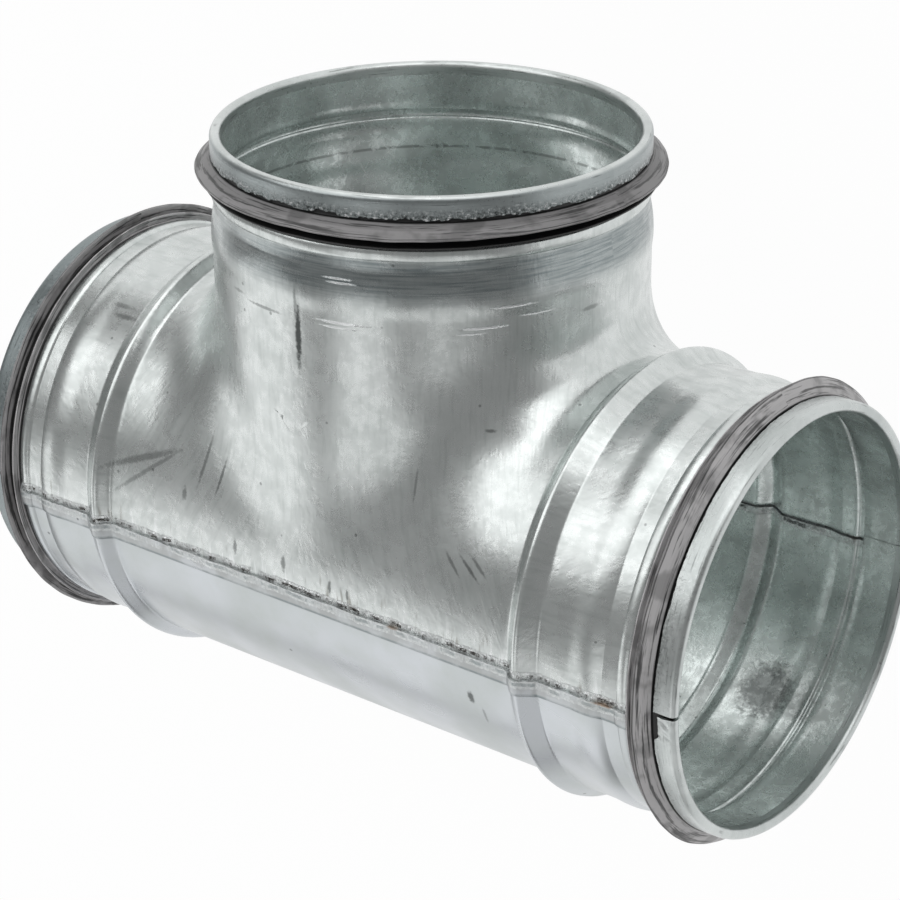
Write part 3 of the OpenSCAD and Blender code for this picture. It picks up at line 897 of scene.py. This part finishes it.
def rolled_zinc(name, finish):
    """The rolled end: the rollers left fine rings round it and wore it grey, most of all at the left end and
    on the outer face of the branch's hem, whose cut edge is crumbly and bright where the zinc has flaked.
    The edges on the run are cleaner."""
    material, tree, place, draw = new_material(name)
    rings = grains(tree, draw, 0.35, stretch=(30, 1, 1), detail=3.0)
    block = grains(tree, draw, 9.0, stretch=(2, 1, 1), detail=4.0, rough=0.6)
    crumb = grains(tree, draw, 0.9, detail=4.0, rough=0.7)
    v = add(tree, "SeparateXYZ", (draw,), out=1)
    x, y, _ = add(tree, "SeparateXYZ", (place,)).node.outputs
    left = add(tree, "MapRange", (x, -70 * MM, -80 * MM, 0, 0.85))
    tone = add(tree, "MapRange", (block, 0.40, 0.60, 0.25, 0.65), **SOFT)
    branch = add(tree, "MapRange", (y, *TO_BRANCH, 0.2, 1))
    face = add(tree, "VectorMath", (place, (1, 0, 1)), **TIMES)
    face = add(tree, "VectorMath", (face,), out=1, operation="LENGTH")
    face = add(tree, "MapRange", (face, 48.6 * MM, 49.1 * MM, 0, 0.7))
    face = add(tree, "Math", (face, branch), **TIMES)
    torn = add(tree, "MapRange", (v, 2.4 * MM, 4.6 * MM, 0, 1))
    torn = add(tree, "Math", (branch, torn), **TIMES)
    flake = add(tree, "MapRange", (crumb, 0.54, 0.62, 0, 1), **SOFT)
    flake = add(tree, "Math", (flake, torn), **TIMES)
    grime = add(tree, "MapRange", (crumb, 0.54, 0.38, 0.15, 0.95), **SOFT)
    grime = add(tree, "Math", (grime, torn), **TIMES)
    ring = add(tree, "MapRange", (rings, 0.58, 0.70, 0, 0.5), **SOFT)
    base = coats(
        tree,
        finish.zinc,
        (tone, finish.zinc_dull),
        (left, finish.zinc_rubbed_and_shade),
        (face, finish.zinc_rubbed_and_shade),
        (ring, finish.soot),
        (flake, finish.zinc_bright),
        (grime, finish.soot),
    )
    rough = add(tree, "MapRange", (crumb, 0.3, 0.7, 0.26, 0.40), **SOFT)
    surface(tree, base, 1.0, rough, 0.03, (rings, 1.0), (flake, 3.0), (crumb, 1.0))
    return material


# Bands of a seal's section: v where each starts and ends, and its dust and painted sheen on the run's seals
# and the branch's.
DUST_AND_SHEEN_BANDS = (
    (3.7, 4.4, 0.85, 0.3),
    (4.5, 5.2, 0.9, 0.4),
    (5.7, 7.4, 0.45, 0.5),
    (7.6, 8.8, 0.9, 0.1),
    (10.4, 11.6, 0.7, 0.0),
    (11.9, 13.3, 1.0, 0.05),
    (13.6, 15.2, 1.0, 0.1),
)


def sealing_rubber(name, finish):
    """Black EPDM rubber, extruded and matte. Zinc dust lies on all that the duct or a hand can reach, above
    all on the outer slopes of the lips, and is rubbed into streaks round the duct; the same light coat is
    also painted sheen, stronger on the run's seals than on the branch's. The grooves stay black, and so does
    the branch's second lip. v in the UV map counts the corners of the section."""
    material, tree, place, draw = new_material(name)
    streak = grains(tree, draw, 0.45, stretch=(40, 0.8, 1), detail=4.0, rough=0.65)
    patch = grains(tree, place, 8, detail=3.0)
    fine = grains(tree, place, 0.6, detail=3.0, rough=0.7)
    v = add(tree, "SeparateXYZ", (draw,), out=1)
    y = add(tree, "SeparateXYZ", (place,), out=1)
    dust_and_sheen = 0.0
    # Dust and painted sheen: each band's coat, stronger on the run's seals than on the branch's.
    for low, high, run_dust_and_sheen, branch_dust_and_sheen in DUST_AND_SHEEN_BANDS:
        amount = add(tree, "MapRange", (y, *TO_BRANCH, run_dust_and_sheen, branch_dust_and_sheen))
        band = window(tree, v, low, high, 0.3, amount)
        dust_and_sheen = add(tree, "Math", (band, dust_and_sheen), operation="MAXIMUM")
    rubbed = add(tree, "MapRange", (streak, 0.38, 0.50, 0.15, 1), **SOFT)
    wiped = add(tree, "MapRange", (patch, 0.36, 0.50, 0.6, 1), **SOFT)
    dust_and_sheen = add(tree, "Math", (dust_and_sheen, rubbed), **TIMES)
    dust_and_sheen = add(tree, "Math", (dust_and_sheen, wiped), **TIMES)
    base = coats(tree, finish.rubber, (dust_and_sheen, finish.dust_and_sheen))
    surface(tree, base, 0.0, 0.45, 0.04, (streak, 1.0), (fine, 1.0), strength=0.7)
    return material


def make_half(node, s, sheet, ends, skins, rolled):
    """Makes the two pieces of one half: the sheet with its outer and inner finish, and the rolled ends."""
    make_piece(node + "_sheet", *sheet.solid(s.sheet), skins, "galvanised_sheet", node)
    make_piece(node + "_rolled_ends", *ends.solid(s.sheet), [rolled], "galvanised_sheet", node)


class MakeUpperHalf(bpy.types.Operator):
    """Make the upper half of the shell with its branch and its rolled ends"""

    bl_idname = "duct_tee.upper_half"
    bl_label = "Upper half"

    def execute(self, context):
        s, finish = sizes(), context.scene.tee_finish
        outer = drawn_zinc("Galvanised steel, drawn", finish)
        inner = inner_zinc("Galvanised steel, inner face", finish)
        rolled = rolled_zinc("Galvanised steel, rolled end", finish)
        make_half("upper_shell", s, upper_sheet(s), rolled_ends(s, 1), [outer, inner], rolled)
        return {"FINISHED"}


class MakeLowerHalf(bpy.types.Operator):
    """Make the lower half of the shell with its rolled ends"""

    bl_idname = "duct_tee.lower_half"
    bl_label = "Lower half"

    def execute(self, context):
        s, finish = sizes(), context.scene.tee_finish
        outer = bright_zinc("Galvanised steel, bent", finish)
        inner = inner_zinc("Galvanised steel, lower inner face", finish)
        rolled = rolled_zinc("Galvanised steel, lower rolled end", finish)
        make_half("lower_shell", s, lower_sheet(s), rolled_ends(s, -1), [outer, inner], rolled)
        return {"FINISHED"}


class MakeSeals(bpy.types.Operator):
    """Make the three rubber seals"""

    bl_idname = "duct_tee.seals"
    bl_label = "Seals"

    def execute(self, context):
        s = sizes()
        rubber = sealing_rubber("EPDM rubber, dusty_and_sheen", context.scene.tee_finish)

        def on_left(d, r, turn):
            return on_run(d - s.half_run, turn, r)

        def on_right(d, r, turn):
            return on_run(s.half_run - d, turn, r)

        def on_branch(d, r, turn):
            return spread(r * np.cos(turn), r * np.sin(turn), s.branch_h - d)

        make_seal("seal_left", s, rubber, 11, on_left, False)
        make_seal("seal_right", s, rubber, 21, on_right, True)
        make_seal("seal_branch", s, rubber, 31, on_branch, True)
        return {"FINISHED"}


CAMERA_PLACE = (0.35783, 0.27949, 0.45101)
CAMERA_AXES = ((0.78942, -0.00808, -0.61379), (-0.25184, 0.90762, -0.33585), (0.55981, 0.41971, 0.71446))
FLOOR_WHITE = 0.97
FLOOR_REACH = 12.0
BOX_AWAY = 1.1
# Each soft box's name in the settings, the direction it stands in, and its width and height in metres.
SOFT_BOXES = (
    ("above", (-0.31, 0.66, 0.68), 1.15, 0.72),
    ("far", (0.12, 0.94, 0.20), 1.6, 0.55),
    ("near", (-0.60, -0.62, 0.48), 1.4, 0.9),
    ("middle", (0.03, -0.42, 0.90), 0.52, 0.6),
    ("right", (0.46, -0.73, 0.51), 1.15, 0.95),
)


def soft_box(name, direction, width, height, level):
    """A soft box that faces the tee from a direction. level is how bright it looks, where 1 is white: its
    power in watts is pi times its area times that."""
    lamp = bpy.data.lights.new(name, "AREA")
    lamp.shape, lamp.size, lamp.size_y = "RECTANGLE", width, height
    lamp.energy = math.pi * width * height * level
    back = Vector(direction).normalized()
    turn = back.to_track_quat("Z", "Y").to_matrix().to_4x4()
    put(name, lamp).matrix_world = Matrix.Translation(back * BOX_AWAY) @ turn


class MakeStage(bpy.types.Operator):
    """Make the floor, the light and the camera"""

    bl_idname = "duct_tee.stage"
    bl_label = "Stage"

    def execute(self, context):
        scene, studio, finish = context.scene, context.scene.tee_studio, context.scene.tee_finish
        scene.view_settings.view_transform = "Standard"
        square = ((-1, -1), (1, -1), (1, 1), (-1, 1))
        mesh = bpy.data.meshes.new("studio_floor")
        mesh.from_pydata([(x * FLOOR_REACH, y * FLOOR_REACH, -SEAL_R) for x, y in square], [], [(0, 1, 2, 3)])
        floor = put("studio_floor", mesh)
        material = bpy.data.materials.new("Studio floor")
        tree = empty_tree(material)
        path = add(tree, "LightPath").node.outputs
        seen = add(tree, "Math", (path["Is Camera Ray"], path["Is Glossy Ray"]), operation="MAXIMUM")
        seen = add(tree, "Math", (seen, path["Is Transmission Ray"]), operation="MAXIMUM")
        seen = add(tree, "Math", (seen, FLOOR_WHITE), **TIMES)
        paint = add(tree, "BsdfDiffuse", {"Color": (*finish.floor, 1)})
        white = add(tree, "Emission", {"Color": (1, 1, 1, 1), "Strength": 1.0})
        add(tree, "OutputMaterial", {"Surface": add(tree, "MixShader", (seen, paint, white))})
        mesh.materials.append(material)

        scene.world = bpy.data.worlds.new("Studio")
        tree = empty_tree(scene.world)
        light = add(tree, "Background", {"Color": (1, 1, 1, 1), "Strength": studio.world})
        add(tree, "OutputWorld", {"Surface": light})

        for name, direction, width, height in SOFT_BOXES:
            soft_box("box_" + name, direction, width, height, getattr(studio, name))

        camera = bpy.data.cameras.new("camera")
        camera.sensor_width, camera.lens = 36, studio.lens
        camera.clip_start, camera.clip_end = 0.01, 50
        scene.camera = put("camera", camera)
        turn = Matrix(CAMERA_AXES).transposed().to_4x4()
        scene.camera.matrix_world = Matrix.Translation(CAMERA_PLACE) @ turn
        return {"FINISHED"}


class DuctTeePanel(bpy.types.Panel):
    """Lists the steps that make the tee"""

    bl_idname = "VIEW3D_PT_duct_tee"
    bl_label = "Duct tee"
    bl_space_type = "VIEW_3D"
    bl_region_type = "UI"
    bl_category = "Duct tee"

    def draw(self, context):
        for group in SETTINGS:
            column = self.layout.column()
            for name in SETTINGS[group].__annotations__:
                column.prop(getattr(context.scene, group), name)
        for step in STEPS:
            self.layout.operator(step.bl_idname)


SETTINGS = {"tee_sizes": TeeSizes, "tee_finish": TeeFinish, "tee_studio": TeeStudio}
STEPS = (MakeUpperHalf, MakeLowerHalf, MakeSeals, MakeStage)
CLASSES = (*SETTINGS.values(), *STEPS, DuctTeePanel)


def register():
    """Registers the classes and hangs the settings on the scene."""
    for cls in CLASSES:
        bpy.utils.register_class(cls)
    for name, group in SETTINGS.items():
        setattr(bpy.types.Scene, name, bpy.props.PointerProperty(type=group))


def unregister():
    """Takes the settings and the classes away again."""
    for name in SETTINGS:
        delattr(bpy.types.Scene, name)
    for cls in reversed(CLASSES):
        bpy.utils.unregister_class(cls)


def main():
    """Makes everything."""
    register()
    bpy.ops.duct_tee.upper_half()
    bpy.ops.duct_tee.lower_half()
    bpy.ops.duct_tee.seals()
    bpy.ops.duct_tee.stage()
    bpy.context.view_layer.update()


if __name__ == "__main__":
    main()
